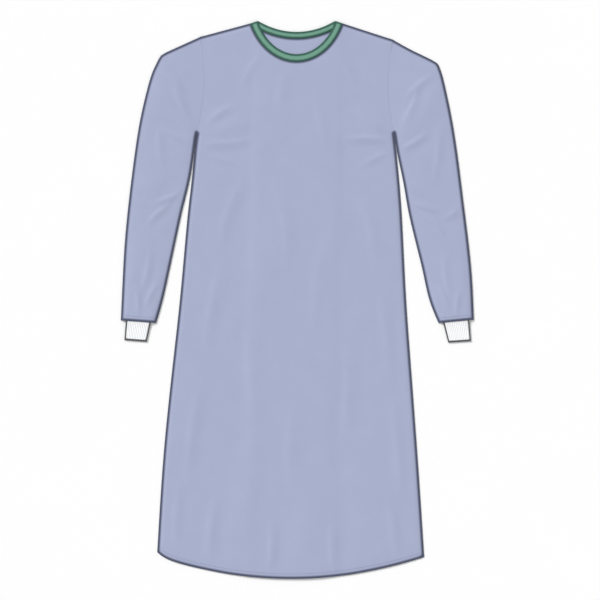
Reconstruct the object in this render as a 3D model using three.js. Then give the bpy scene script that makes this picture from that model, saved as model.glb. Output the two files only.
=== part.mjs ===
// A surgical gown with long sleeves, laid flat on its back with the front up.
// X runs across the gown, +Y towards the neck, +Z up. Left and right are the wearer's own,
// so the right sleeve lies at -X. Sizes are in millimetres.

import * as THREE from 'three';

// Walls, the space between pieces, and how far a fold's edge is rounded off.
const clothWall = 1.2;
const bindingWall = 1.6;
const cuffWall = 1.2;
const ribHeight = 0.4;
const seamGap = 0.3;
const layer = clothWall + seamGap;
const foldInset = 0.48;

// Neck: the seam between front and binding is part of an ellipse, that of the back part of a circle.
const neckCentreX = - 1.5;
const frontNeckLowY = 520.5;
const frontNeckHalfWidth = 110;
const frontNeckHalfDepth = 137.7;
const frontNeckReach = 101.4;
const frontBindingWidth = 17;
const backNeckLowY = 571.2;
const backNeckRadius = 174;
const backNeckReach = 102.5;
const backBindingWidth = 15;
const neckPointReach = 83.7;

// Hem: a shallow curve, with the right-hand corner eased up.
const hemLowX = - 14;
const hemLowY = - 610;
const hemRise = 0.00056;
const hemCornerRise = 10;
const hemCornerStartX = - 282;
const hemCornerLength = 24;

// Back opening: the free edges of the two back panels, at the neck and at the hem.
const rightBackEdge = { neckX: 84, hemX: 60 };
const leftBackEdge = { neckX: - 70, hemX: - 95 };
const lapRamp = 28;
const lapDrop = 16;
const lapClear = 7;

// Where the neck bindings cross, the front rises by their extra thickness.
const neckLift = 2 * ( bindingWall - clothWall );
const neckLiftY = { low: 545, high: 572 };

// Shoulder ends of the armhole seams, how far each seam bows towards the body, and the share of
// the sleeve over which the same bow fades out.
const shoulderEnd = {
	right: { x: - 212, y: 575.5 },
	left: { x: 209, y: 569.5 }
};
const armholeBow = 12;
const sleeveBowEndShare = 0.3;

// Side edges of the body, from the underarm down to the hem.
const bodySides = [
	{ y: 364, right: - 219.6, left: 211.6 },
	{ y: 330, right: - 224.2, left: 215.8 },
	{ y: 263, right: - 230.6, left: 222.7 },
	{ y: 176, right: - 240.8, left: 229.2 },
	{ y: 0, right: - 256.6, left: 238.0 },
	{ y: - 175, right: - 276.3, left: 251.1 },
	{ y: - 350, right: - 293.8, left: 264.2 },
	{ y: - 548, right: - 306.3, left: 277.5 }
];

// Sleeve sections, from the armhole to the cuff: a point on the outer fold and one on the inner fold.
const sleeveSections = {
	right: [
		{ outX: - 212.3, outY: 575.5, inX: - 219.9, inY: 364 },
		{ outX: - 254.4, outY: 556.5, inX: - 221.5, inY: 355 },
		{ outX: - 280.0, outY: 544.8, inX: - 222.8, inY: 346 },
		{ outX: - 298.5, outY: 534.5, inX: - 224.1, inY: 336 },
		{ outX: - 309.5, outY: 514.0, inX: - 225.6, inY: 325 },
		{ outX: - 322.6, outY: 483.0, inX: - 227.8, inY: 308 },
		{ outX: - 344.1, outY: 394.0, inX: - 236.0, inY: 258 },
		{ outX: - 357.3, outY: 307.0, inX: - 252.0, inY: 195 },
		{ outX: - 368.2, outY: 219.0, inX: - 268.0, inY: 120 },
		{ outX: - 377.0, outY: 132.0, inX: - 280.0, inY: 64 },
		{ outX: - 382.0, outY: 44.0, inX: - 294.0, inY: 0 },
		{ outX: - 386.0, outY: - 44.5, inX: - 308.7, inY: - 50.2 }
	],
	left: [
		{ outX: 209.3, outY: 569.5, inX: 211.9, inY: 364 },
		{ outX: 246.7, outY: 548.5, inX: 213.4, inY: 355 },
		{ outX: 281.7, outY: 531.6, inX: 214.7, inY: 345 },
		{ outX: 306.0, outY: 518.4, inX: 216.3, inY: 335 },
		{ outX: 312.6, outY: 504.5, inX: 218.0, inY: 324 },
		{ outX: 320.0, outY: 481.0, inX: 221.4, inY: 307 },
		{ outX: 338.6, outY: 394.0, inX: 233.5, inY: 250 },
		{ outX: 351.8, outY: 307.0, inX: 243.5, inY: 190 },
		{ outX: 362.7, outY: 219.0, inX: 261.0, inY: 118 },
		{ outX: 373.7, outY: 132.0, inX: 274.5, inY: 64 },
		{ outX: 382.4, outY: 44.0, inX: 288.3, inY: 0 },
		{ outX: 386.0, outY: - 43.0, inX: 309.0, inY: - 50.4 }
	]
};

// Knitted cuffs: their two sides at the sleeve's mouth and at their own end.
const cuffCorners = {
	right: { mouthOutX: - 374.8, mouthOutY: - 45.4, mouthInX: - 320.3, mouthInY: - 49.4,
		endOutX: - 378.0, endOutY: - 87.8, endInX: - 329.5, endInY: - 91.6 },
	left: { mouthOutX: 376.2, mouthOutY: - 44.0, mouthInX: 319.0, mouthInY: - 49.4,
		endOutX: 379.8, endOutY: - 90.0, endInX: 330.3, endInY: - 93.2 }
};

// The tuck lies in the sleeve. Just past the mouth the cuff slopes down to the surface.
const cuffTuck = 16;
const cuffLevelEnd = 1;
const cuffRamp = 12;
const cuffRibs = 14;

// The binding's height across its width, as shares of its width and of its wall.
const bindingProfile = [
	{ share: 0, height: 0.55 },
	{ share: 0.12, height: 1 },
	{ share: 0.88, height: 1 },
	{ share: 1, height: 0.55 }
];

// Largest soft ridges in the cloth: centre, direction, length, width and height of each.
const frontRidges = [
	{ x: - 150, y: 385, turn: 14, length: 170, width: 70, height: 1.9 },
	{ x: 150, y: 372, turn: - 17, length: 150, width: 66, height: 1.8 },
	{ x: - 120, y: - 440, turn: 85, length: 400, width: 96, height: 2.3 },
	{ x: 20, y: - 500, turn: 91, length: 280, width: 84, height: 1.8 },
	{ x: 150, y: - 410, turn: 95, length: 430, width: 100, height: 2.2 },
	{ x: - 75, y: 70, turn: 66, length: 360, width: 120, height: 1.2 },
	{ x: 110, y: 110, turn: 108, length: 320, width: 110, height: 1.1 }
];
const sleeveRidges = {
	right: [
		{ x: - 278, y: 420, turn: 128, length: 190, width: 64, height: 1.5 },
		{ x: - 304, y: 262, turn: 38, length: 130, width: 60, height: 1.3 },
		{ x: - 330, y: 120, turn: 62, length: 150, width: 58, height: 1.2 }
	],
	left: [
		{ x: 272, y: 412, turn: 54, length: 180, width: 62, height: 1.5 },
		{ x: 300, y: 236, turn: 140, length: 140, width: 60, height: 1.3 },
		{ x: 328, y: 96, turn: 116, length: 150, width: 56, height: 1.2 }
	]
};

// How far the cloth stands off the layers under it. The front lies down again over a few columns
// at its seams, and a sleeve over shares of its length and of its width.
const frontLoft = 0.5;
const frontFadeColumns = 2;
const sleeveLoft = 1.4;
const sleeveLoftFullShare = 0.25;
const sleeveFlatShare = 0.12;
const mouthLoft = 2 * cuffWall + ribHeight + 2 * seamGap;
const mouthLoftShare = { start: 0.82, full: 0.94 };

// How finely each piece is divided.
const shoulderShares = [ 0.12, 0.4, 0.7 ];
const frontNeckSteps = 18;
const backNeckSteps = 10;
const sideSteps = 17;
const stepsPerSleeveSection = 2;
const edgeShare = 0.014;
const armholeShares = [ 0, edgeShare, 0.12, 0.25, 0.38, 0.5, 0.62, 0.75, 0.88, 1 - edgeShare, 1 ];

// Colour and roughness of each material.
const finishes = {
	cloth: { color: '#a8afca', roughness: 0.85 },
	binding: { color: '#70a58f', roughness: 0.8 },
	cuff: { color: '#f6f9fa', roughness: 0.9 }
};

const { clamp, degToRad, lerp, smoothstep } = THREE.MathUtils;

// 0 at both ends of a stretch and 1 in its middle.
const archAt = ( share ) => 4 * share * ( 1 - share );

// A row worked out between the rows of a table, on a smooth course through them.
function rowAt( table, share ) {

	const place = share * ( table.length - 1 );
	const first = Math.min( Math.floor( place ), table.length - 2 );
	const part = place - first;
	const row = {};
	for ( const column of Object.keys( table[ 0 ] ) ) {

		const value = ( index ) => table[ clamp( index, 0, table.length - 1 ) ][ column ];
		const start = value( first );
		const end = value( first + 1 );
		const startSlope = ( end - value( first - 1 ) ) / 2;
		const endSlope = ( value( first + 2 ) - start ) / 2;
		const bend = 2 * ( start - end ) + startSlope + endSlope;
		const turn = 3 * ( end - start ) - 2 * startSlope - endSlope;
		row[ column ] = ( ( bend * part + turn ) * part + startSlope ) * part + start;

	}

	return row;

}

// The height that soft ridges add at a point.
function ridgesAt( ridges, x, y ) {

	let height = 0;
	for ( const ridge of ridges ) {

		const turn = degToRad( ridge.turn );
		const along = ( x - ridge.x ) * Math.cos( turn ) + ( y - ridge.y ) * Math.sin( turn );
		const across = ( y - ridge.y ) * Math.cos( turn ) - ( x - ridge.x ) * Math.sin( turn );
		const lengthFade = Math.max( 0, 1 - ( 2 * along / ridge.length ) ** 2 );
		const widthFade = Math.max( 0, 1 - ( 2 * across / ridge.width ) ** 2 );
		height += ridge.height * ( lengthFade * widthFade ) ** 2;

	}

	return height;

}

// A closed mesh from its points and faces, turned so that the faces point out.
function makeMesh( name, points, faces, finish ) {

	let volume = 0;
	for ( const [ a, b, c ] of faces ) volume += points[ a ].dot( points[ b ].clone().cross( points[ c ] ) );
	const index = faces.flatMap( ( face ) => ( volume < 0 ? [ face[ 0 ], face[ 2 ], face[ 1 ] ] : face ) );
	const geometry = new THREE.BufferGeometry().setFromPoints( points );
	geometry.setIndex( index );
	geometry.computeVertexNormals();
	const material = new THREE.MeshStandardMaterial( { ...finish, metalness: 0 } );
	const mesh = new THREE.Mesh( geometry, material );
	mesh.name = name;
	return mesh;

}

function addQuad( faces, a, b, c, d ) {

	faces.push( [ a, b, c ], [ a, c, d ] );

}

// A panel: a grid of plan points, with the height of its underside and of its top at each.
function makePanel( name, grid, heights, finish ) {

	const rows = grid.length;
	const columns = grid[ 0 ].length;
	const half = rows * columns;
	const low = [];
	const high = [];
	grid.forEach( ( line, i ) => line.forEach( ( point, j ) => {

		const { under, top } = heights( point, i, j );
		low.push( new THREE.Vector3( point.x, point.y, under ) );
		high.push( new THREE.Vector3( point.x, point.y, top ) );

	} ) );

	const faces = [];
	const at = ( i, j ) => i * columns + j;
	for ( let i = 0; i < rows - 1; i ++ ) {

		for ( let j = 0; j < columns - 1; j ++ ) {

			addQuad( faces, at( i, j ), at( i, j + 1 ), at( i + 1, j + 1 ), at( i + 1, j ) );
			const [ a, b, c, d ] = [ at( i, j ), at( i + 1, j ), at( i + 1, j + 1 ), at( i, j + 1 ) ];
			addQuad( faces, a + half, b + half, c + half, d + half );

		}

		addQuad( faces, at( i, 0 ), at( i + 1, 0 ), at( i + 1, 0 ) + half, at( i, 0 ) + half );
		const last = columns - 1;
		addQuad( faces, at( i + 1, last ), at( i, last ), at( i, last ) + half, at( i + 1, last ) + half );

	}

	for ( let j = 0; j < columns - 1; j ++ ) {

		addQuad( faces, at( 0, j + 1 ), at( 0, j ), at( 0, j ) + half, at( 0, j + 1 ) + half );
		const end = rows - 1;
		addQuad( faces, at( end, j ), at( end, j + 1 ), at( end, j + 1 ) + half, at( end, j ) + half );

	}

	return makeMesh( name, low.concat( high ), faces, finish );

}

// A flattened tube, open at both ends: an outer and an inner ring of points for each section.
function makeTube( name, outerRings, innerRings, finish ) {

	const rows = outerRings.length;
	const around = outerRings[ 0 ].length;
	const half = rows * around;
	const faces = [];
	const at = ( i, k ) => i * around + k % around;
	for ( let k = 0; k < around; k ++ ) {

		for ( let i = 0; i < rows - 1; i ++ ) {

			const [ a, b, c, d ] = [ at( i, k ), at( i + 1, k ), at( i + 1, k + 1 ), at( i, k + 1 ) ];
			addQuad( faces, a, b, c, d );
			addQuad( faces, d + half, c + half, b + half, a + half );

		}

		const end = rows - 1;
		addQuad( faces, at( 0, k ), at( 0, k + 1 ), at( 0, k + 1 ) + half, at( 0, k ) + half );
		addQuad( faces, at( end, k + 1 ), at( end, k ), at( end, k ) + half, at( end, k + 1 ) + half );

	}

	return makeMesh( name, outerRings.flat().concat( innerRings.flat() ), faces, finish );

}

// A grid of plan points between four edges. The top edge's points set the columns.
function gridBetween( topEdge, leftEdge, rightEdge, bottomY ) {

	const width = topEdge.at( - 1 ).x - topEdge[ 0 ].x;
	const last = leftEdge.length - 1;
	const fall = leftEdge[ 0 ].y - leftEdge[ last ].y;
	return leftEdge.map( ( left, i ) => {

		const right = rightEdge[ i ];
		const v = ( leftEdge[ 0 ].y - left.y ) / fall;
		return topEdge.map( ( top ) => {

			const u = ( top.x - topEdge[ 0 ].x ) / width;
			const bottomX = lerp( leftEdge[ last ].x, rightEdge[ last ].x, u );
			const bottom = new THREE.Vector2( bottomX, bottomY( bottomX ) );
			const corners = leftEdge[ 0 ].clone().lerp( rightEdge[ 0 ], u )
				.lerp( leftEdge[ last ].clone().lerp( rightEdge[ last ], u ), v );
			const sides = left.clone().lerp( right, u );
			return top.clone().lerp( bottom, v ).add( sides ).sub( corners );

		} );

	} );

}

function hemY( x ) {

	const corner = Math.max( 0, ( hemCornerStartX - x ) / hemCornerLength );
	return hemLowY + hemRise * ( x - hemLowX ) ** 2 + hemCornerRise * corner ** 2;

}

// The body's edge on one side: the armhole seam, then the side down to the hem.
function bodyEdge( side ) {

	const start = shoulderEnd[ side ];
	const underarm = { x: bodySides[ 0 ][ side ], y: bodySides[ 0 ].y };
	const inward = side === 'right' ? 1 : - 1;
	const edge = armholeShares.map( ( share ) => {

		const bow = armholeBow * archAt( share ) * inward;
		return new THREE.Vector2( lerp( start.x, underarm.x, share ) + bow, lerp( start.y, underarm.y, share ) );

	} );

	const endRow = bodySides.at( - 1 );
	const endShift = hemY( endRow[ side ] ) - endRow.y;
	for ( let i = 1; i <= sideSteps; i ++ ) {

		const share = i / sideSteps;
		const row = rowAt( bodySides, share );
		edge.push( new THREE.Vector2( row[ side ], row.y + endShift * share ** 2 ) );

	}

	return edge;

}

// A back panel's free edge, level with the points of the other edge.
function freeEdge( ends, topY, level ) {

	const bottomY = hemY( ends.hemX );
	return level.map( ( point ) => {

		const share = ( level[ 0 ].y - point.y ) / ( level[ 0 ].y - level.at( - 1 ).y );
		return new THREE.Vector2( lerp( ends.neckX, ends.hemX, share ), lerp( topY, bottomY, share ) );

	} );

}

function freeEdgeX( ends, y ) {

	return lerp( ends.neckX, ends.hemX, clamp( ( backNeckLowY - y ) / ( backNeckLowY - hemLowY ), 0, 1 ) );

}

// The front's neck seam: a point and its direction towards the opening.
function frontNeckPoint( share, inset ) {

	const widest = Math.asin( frontNeckReach / frontNeckHalfWidth );
	const angle = lerp( - widest, widest, share );
	const [ sine, cosine ] = [ Math.sin( angle ), Math.cos( angle ) ];
	const x = neckCentreX + frontNeckHalfWidth * sine;
	const y = frontNeckLowY + frontNeckHalfDepth * ( 1 - cosine );
	const normal = new THREE.Vector2( - sine / frontNeckHalfWidth, cosine / frontNeckHalfDepth ).normalize();
	return new THREE.Vector2( x, y ).addScaledVector( normal, inset );

}

// The back's neck circle at a given radius.
function backNeckPoint( x, radius ) {

	const centreY = backNeckLowY + backNeckRadius;
	return new THREE.Vector2( x, centreY - Math.sqrt( radius ** 2 - ( x - neckCentreX ) ** 2 ) );

}

// The points of a shoulder seam between its armhole end and its neck end.
function shoulderLine( armhole, neck ) {

	return shoulderShares.map( ( share ) => armhole.clone().lerp( neck, share ) );

}

// How far the right back is lifted where it lies on the left back, and the front where it lies on both.
function lapRise( x, y ) {

	const edge = freeEdgeX( leftBackEdge, y );
	return smoothstep( x, edge - lapRamp - lapClear, edge - lapClear );

}

function lapLift( x, y ) {

	const edge = freeEdgeX( rightBackEdge, y );
	return layer * lapRise( x, y ) * ( 1 - smoothstep( x, edge + lapClear, edge + lapClear + lapDrop ) );

}

function frontBase( x, y ) {

	return layer + lapLift( x, y ) + neckLift * smoothstep( y, neckLiftY.low, neckLiftY.high );

}

function makeFront() {

	const rightEdge = bodyEdge( 'right' );
	const leftEdge = bodyEdge( 'left' );
	const neck = [];
	for ( let i = 0; i <= frontNeckSteps; i ++ ) neck.push( frontNeckPoint( i / frontNeckSteps, - seamGap ) );
	const topEdge = [
		rightEdge[ 0 ], ...shoulderLine( rightEdge[ 0 ], neck[ 0 ] ), ...neck,
		...shoulderLine( leftEdge[ 0 ], neck.at( - 1 ) ).reverse(), leftEdge[ 0 ]
	];
	const grid = gridBetween( topEdge, rightEdge, leftEdge, hemY );
	const columns = topEdge.length - 1;
	const heights = ( point, i, j ) => {

		const seamSide = Math.min( j, columns - j, i );
		const fade = smoothstep( seamSide, 0, frontFadeColumns );
		const loft = fade * ( frontLoft + ridgesAt( frontRidges, point.x, point.y ) );
		const under = frontBase( point.x, point.y ) + loft;
		return { under, top: under + clothWall };

	};

	return makePanel( 'front', grid, heights, finishes.cloth );

}

// A back panel. Its neck edge runs from the shoulder seam to its free edge.
function makeBack( name, side, ends, underside ) {

	const sideEdge = bodyEdge( side );
	const neckRadius = backNeckRadius + seamGap;
	const inward = side === 'right' ? 1 : - 1;
	const cornerX = neckCentreX - inward * backNeckReach;
	const neck = [];
	for ( let i = 0; i <= backNeckSteps; i ++ ) {

		neck.push( backNeckPoint( lerp( cornerX, ends.neckX, i / backNeckSteps ), neckRadius ) );

	}

	const openEdge = freeEdge( ends, neck.at( - 1 ).y, sideEdge );
	const topEdge = [ sideEdge[ 0 ], ...shoulderLine( sideEdge[ 0 ], neck[ 0 ] ), ...neck ];
	const grid = gridBetween( topEdge, sideEdge, openEdge, hemY );
	const heights = ( point ) => {

		const under = underside( point.x, point.y );
		return { under, top: under + clothWall };

	};

	return makePanel( name, grid, heights, finishes.cloth );

}

// A strip of binding: pairs of points across it, with its long edges rounded off.
function makeBinding( name, pairs, underside ) {

	const across = ( [ seam, edge ] ) => bindingProfile.map( ( { share } ) => seam.clone().lerp( edge, share ) );
	const grid = pairs.map( across );
	const heights = ( point, i, j ) => {

		const under = underside( point.x, point.y );
		return { under, top: under + bindingWall * bindingProfile[ j ].height };

	};

	return makePanel( name, grid, heights, finishes.binding );

}

function makeFrontBinding() {

	const pairs = [];
	for ( let i = 0; i <= frontNeckSteps; i ++ ) {

		const share = i / frontNeckSteps;
		pairs.push( [ frontNeckPoint( share, 0 ), frontNeckPoint( share, frontBindingWidth ) ] );

	}

	return makeBinding( 'neck_binding_front', pairs, frontBase );

}

function makeBackBinding( name, side, ends, underside ) {

	const inward = side === 'right' ? 1 : - 1;
	const seamStartX = neckCentreX - inward * backNeckReach;
	const edgeStartX = neckCentreX - inward * neckPointReach;
	const edgeEndX = side === 'right' ? neckCentreX + neckPointReach : ends.neckX;
	const pairs = [];
	for ( let i = 0; i <= backNeckSteps; i ++ ) {

		const share = i / backNeckSteps;
		pairs.push( [
			backNeckPoint( lerp( seamStartX, ends.neckX, share ), backNeckRadius ),
			backNeckPoint( lerp( edgeStartX, edgeEndX, share ), backNeckRadius - backBindingWidth )
		] );

	}

	return makeBinding( name, pairs, underside );

}

// The inward normal of a sleeve's fold, from the neighbouring sections.
function foldNormal( points, i, towards ) {

	const before = points[ Math.max( 0, i - 1 ) ];
	const after = points[ Math.min( points.length - 1, i + 1 ) ];
	const normal = new THREE.Vector2( after.y - before.y, before.x - after.x ).normalize();
	const inward = towards.clone().sub( points[ i ] );
	return normal.dot( inward ) < 0 ? normal.negate() : normal;

}

function makeSleeve( side ) {

	const table = sleeveSections[ side ];
	const inward = side === 'right' ? 1 : - 1;
	const sleeveSteps = stepsPerSleeveSection * ( table.length - 1 );
	const outFold = [];
	const inFold = [];
	for ( let i = 0; i <= sleeveSteps; i ++ ) {

		const row = rowAt( table, i / sleeveSteps );
		outFold.push( new THREE.Vector2( row.outX, row.outY ) );
		inFold.push( new THREE.Vector2( row.inX, row.inY ) );

	}

	const outerRings = [];
	const innerRings = [];
	for ( let i = 0; i <= sleeveSteps; i ++ ) {

		const share = i / sleeveSteps;
		const bow = armholeBow * inward * ( 1 - smoothstep( share, 0, sleeveBowEndShare ) );
		const along = ( from, to, part ) => {

			const point = from.clone().lerp( to, part );
			point.x += archAt( part ) * bow;
			return point;

		};

		const mouth = smoothstep( share, mouthLoftShare.start, mouthLoftShare.full );
		const body = smoothstep( share, 0, sleeveLoftFullShare );
		const hollowHeight = ( point, part ) => {

			const flat = smoothstep( Math.min( part, 1 - part ), 0, sleeveFlatShare );
			const ridges = ridgesAt( sleeveRidges[ side ], point.x, point.y );
			const open = body * flat * lerp( sleeveLoft + ridges, mouthLoft - seamGap, mouth );
			return seamGap + open;

		};

		const [ outer, inner ] = [ [], [] ];

		// At the armhole the hollow's outer end stays on the seam's line.
		const seamWay = inFold[ i ].clone().sub( outFold[ i ] ).normalize();
		const outNormal = i === 0 ? seamWay : foldNormal( outFold, i, inFold[ i ] );
		const hollowOut = outFold[ i ].clone().addScaledVector( outNormal, clothWall );
		const hollowIn = inFold[ i ].clone().addScaledVector( foldNormal( inFold, i, outFold[ i ] ), clothWall );
		for ( const part of armholeShares ) {

			const fold = part === 0 || part === 1 ? foldInset : 0;
			const point = along( outFold[ i ], inFold[ i ], part );
			const hollow = along( hollowOut, hollowIn, part );
			outer.push( new THREE.Vector3( point.x, point.y, fold ) );
			inner.push( new THREE.Vector3( hollow.x, hollow.y, clothWall ) );

		}

		for ( const part of [ ...armholeShares ].reverse() ) {

			const fold = part === 0 || part === 1 ? foldInset : 0;
			const point = along( outFold[ i ], inFold[ i ], part );
			const hollow = along( hollowOut, hollowIn, part );
			const height = hollowHeight( point, part );
			outer.push( new THREE.Vector3( point.x, point.y, 2 * clothWall + height - fold ) );
			inner.push( new THREE.Vector3( hollow.x, hollow.y, clothWall + height ) );

		}

		outerRings.push( outer );
		innerRings.push( inner );

	}

	return makeTube( `sleeve_${ side }`, outerRings, innerRings, finishes.cloth );

}

function makeCuff( side ) {

	const corners = cuffCorners[ side ];
	const mouthOut = new THREE.Vector2( corners.mouthOutX, corners.mouthOutY );
	const mouthIn = new THREE.Vector2( corners.mouthInX, corners.mouthInY );
	const endOut = new THREE.Vector2( corners.endOutX, corners.endOutY );
	const endIn = new THREE.Vector2( corners.endInX, corners.endInY );
	const length = endOut.distanceTo( mouthOut );
	const sections = [
		{ distance: - cuffTuck, under: layer },
		{ distance: cuffLevelEnd, under: layer },
		{ distance: cuffLevelEnd + cuffRamp, under: 0 },
		{ distance: length, under: 0 }
	];
	const outerRings = [];
	const innerRings = [];
	for ( const { distance, under } of sections ) {

		const out = mouthOut.clone().lerp( endOut, distance / length );
		const inn = mouthIn.clone().lerp( endIn, distance / length );
		const width = out.distanceTo( inn );
		const outer = [];
		const inner = [];
		const marks = 2 * cuffRibs;
		const hollowPart = ( part ) => lerp( cuffWall / width, 1 - cuffWall / width, part );
		for ( let k = 0; k <= marks; k ++ ) {

			const point = out.clone().lerp( inn, k / marks );
			const hollow = out.clone().lerp( inn, hollowPart( k / marks ) );
			outer.push( new THREE.Vector3( point.x, point.y, under ) );
			inner.push( new THREE.Vector3( hollow.x, hollow.y, under + cuffWall ) );

		}

		for ( let k = marks; k >= 0; k -- ) {

			const point = out.clone().lerp( inn, k / marks );
			const hollow = out.clone().lerp( inn, hollowPart( k / marks ) );
			const rib = k % 2 === 1 ? ribHeight : 0;
			outer.push( new THREE.Vector3( point.x, point.y, under + 2 * cuffWall + seamGap + rib ) );
			inner.push( new THREE.Vector3( hollow.x, hollow.y, under + cuffWall + seamGap ) );

		}

		outerRings.push( outer );
		innerRings.push( inner );

	}

	return makeTube( `cuff_${ side }`, outerRings, innerRings, finishes.cuff );

}

const onFloor = () => 0;
const onLeftBack = ( x, y ) => layer * lapRise( x, y );
const onLeftBinding = ( x, y ) => ( bindingWall + seamGap ) * lapRise( x, y );

const gown = new THREE.Group();
gown.add(
	makeFront(),
	makeBack( 'back_right', 'right', rightBackEdge, onLeftBack ),
	makeBack( 'back_left', 'left', leftBackEdge, onFloor ),
	makeSleeve( 'right' ),
	makeSleeve( 'left' ),
	makeCuff( 'right' ),
	makeCuff( 'left' ),
	makeFrontBinding(),
	makeBackBinding( 'neck_binding_back_right', 'right', rightBackEdge, onLeftBinding ),
	makeBackBinding( 'neck_binding_back_left', 'left', leftBackEdge, onFloor )
);

export default gown;
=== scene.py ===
"""A surgical gown laid flat, front up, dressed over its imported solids."""

import math

import bmesh
import bpy
import numpy as np
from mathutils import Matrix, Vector, noise
from mathutils.bvhtree import BVHTree
from mathutils.kdtree import KDTree


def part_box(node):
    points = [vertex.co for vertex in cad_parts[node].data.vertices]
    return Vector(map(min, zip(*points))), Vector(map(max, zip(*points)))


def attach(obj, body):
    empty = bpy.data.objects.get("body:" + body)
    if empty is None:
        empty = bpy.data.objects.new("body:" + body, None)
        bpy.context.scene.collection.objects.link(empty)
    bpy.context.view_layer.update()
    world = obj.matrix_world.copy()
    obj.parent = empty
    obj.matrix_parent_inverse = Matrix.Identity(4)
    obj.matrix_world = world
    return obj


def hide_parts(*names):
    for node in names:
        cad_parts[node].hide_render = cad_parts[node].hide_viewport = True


bl_info = {
    "name": "Laid Surgical Gown",
    "version": (1, 0, 0),
    "blender": (4, 5, 0),
    "location": "3D View > Sidebar > Gown",
    "description": "Builds the cloth, knit, binding and stitches of a surgical gown laid flat",
    "category": "Object",
}

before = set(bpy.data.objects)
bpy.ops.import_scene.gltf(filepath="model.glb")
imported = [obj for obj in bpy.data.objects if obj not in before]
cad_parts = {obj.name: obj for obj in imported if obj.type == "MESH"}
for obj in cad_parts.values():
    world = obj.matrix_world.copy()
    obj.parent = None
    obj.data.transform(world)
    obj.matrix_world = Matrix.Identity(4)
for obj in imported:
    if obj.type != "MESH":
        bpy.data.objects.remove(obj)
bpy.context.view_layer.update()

MM = 0.001

# Boundaries of the gown's parts in the frame, in metres.
UNDERARM_Y = 0.364
ARMHOLE_TOP_Y = {"right": 0.5755, "left": 0.5695}
ARMHOLE_NEAREST_X = 0.19
NECK_LOWEST_Y = 0.515
HEM_TOP_Y = -0.54
FREE_EDGE_REACH_X = 0.1

# The middle of the neck opening seen from above, and how far its edge reaches to either side.
NECK_CENTRE = (-0.0015, 0.66)
NECK_REACH = 0.1025

# Each sleeve: where its fold turns at the shoulder, and which way along X the body lies.
SLEEVES = {
    "right": {"corner": (-0.2985, 0.5345), "inward": 1},
    "left": {"corner": (0.3060, 0.5184), "inward": -1},
}

# A sleeve's armhole edge lies above the first of these lines, and the edge of its mouth below the
# second. The mouth's upper side is over this height.
SLEEVE_ARMHOLE_Y = UNDERARM_Y - 10 * MM
SLEEVE_MOUTH_Y = 0
UPPER_MOUTH_Z = 2.6 * MM

# The cloth's length runs down each sleeve at this angle to the body's, in degrees.
SLEEVE_LEAN = 10

# The neck binding's parts from the lowest up, with what each rests on.
BINDING_PARTS = {
    "back_left": [],
    "back_right": ["binding_back_left"],
    "front": ["binding_back_right"],
}

# Space that the solids leave between two sewn pieces. Each edge moves over its share of it, and
# takes the cloth beside it along, within the reach.
SEAM_GAP = 0.3 * MM
GAP_SHARE = 0.55
GAP_REACH = 12 * SEAM_GAP

# Creases fade out towards an edge: there are none up to the first distance, and from the second on
# they are whole. On a sleeve they fade in between two heights as well, on its upper side.
SEAM_FADE = (4 * MM, 40 * MM)
JOINT_FADE = (6 * MM, 45 * MM)
FOLD_FADE = (2 * MM, 24 * MM)
MOUTH_FADE = (0, 20 * MM)
UPPER_SIDE = (1.4 * MM, 2.4 * MM)

# Hollows in the laid cloth go no deeper than this under the surface of its solid.
DEEPEST = {"front": 0.8 * MM, "sleeve": 0.6 * MM}

# The front comes down onto the backs by this much at its sides and hem, over this distance.
SIDE_DROP = 1.5 * MM
SIDE_DROP_REACH = 12 * MM
HEM_DROP = 0.9 * MM
HEM_DROP_REACH = 25 * MM

# The form of a soft crease, in shares of its width and height: its ridge, which is steeper on one
# side, and the hollow beside it. The last number is how quickly it sinks towards its ends.
RIDGE_WIDTH = 0.5
STEEP_SIDE = 0.75
GENTLE_SIDE = 1.3
HOLLOW_PLACE = 1.25
HOLLOW_WIDTH = 0.8
HOLLOW_DEPTH = 0.35
END_TAPER = 1.5

# The slow unevenness of the laid cloth: the size of its waves in metres, and a seed for each piece.
WAVES = {
    "front": {"size": 0.16, "seed": 1.7},
    "sleeve_right": {"size": 0.1, "seed": 3.1},
    "sleeve_left": {"size": 0.1, "seed": 5.4},
}

# The waves come in layers, each finer than the last by the step, and fainter the higher the fade.
WAVE_LAYERS = 3
WAVE_STEP = 2.0
WAVE_FADE = 1.0

# Edges that turn by more than this are shaded as sharp, as at the cloth's cut rim.
SHARP_EDGE = math.radians(50)

# A piece's outline stays sharp where it turns by more than the first angle, and an edge between two
# faces where they turn by more than the second. Closed pieces keep this share of such a sharp edge.
SHARP_CORNER = math.radians(30)
HARD_EDGE = math.radians(60)
KEPT_SHARPNESS = 0.6

# Two triangles become a quad of any shape where they turn by less than this, on cloth and on closed
# pieces.
CLOTH_FLATNESS = math.radians(20)
CLOSED_FLATNESS = math.radians(8)
ANY_SHAPE = math.radians(179)

# Heights of a face's normal, which tell a panel's two sides, a sleeve's folds, and the binding's
# upright walls and its underside.
PANEL_SIDE = 0.5
FOLD_SLOPE = 0.6
WALL_SLOPE = 0.1
UNDERSIDE = -0.9

# Two directions count as the same where the cosine of the angle between them is over this.
SAME_WAY = 0.7

# Points this close are one point in a solid, and in a chain of edges.
MERGE_DISTANCE = 2e-6
CHAIN_GRID = 0.02 * MM

# A named corner is the point nearest to it, with those that are further off by less than this.
CORNER_EASE = 0.5 * MM

# Distance between the points that stand for an edge when distances to it are measured.
EDGE_SPACING = 0.5 * MM

# A line straight out from a sleeve's inner surface meets the sleeve again within this distance, and
# one from its outer surface doesn't. The line starts just off the surface.
LINING_REACH = 12 * MM
LINE_START = 0.01 * MM

# A line that looks for the cloth starts this high over it or under it.
LINE_HEIGHT = 0.05

# Each knitted cuff has this many ribs on its upper side, about this far apart.
CUFF_RIBS = 14
RIB_PITCH = 3.9 * MM

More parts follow.
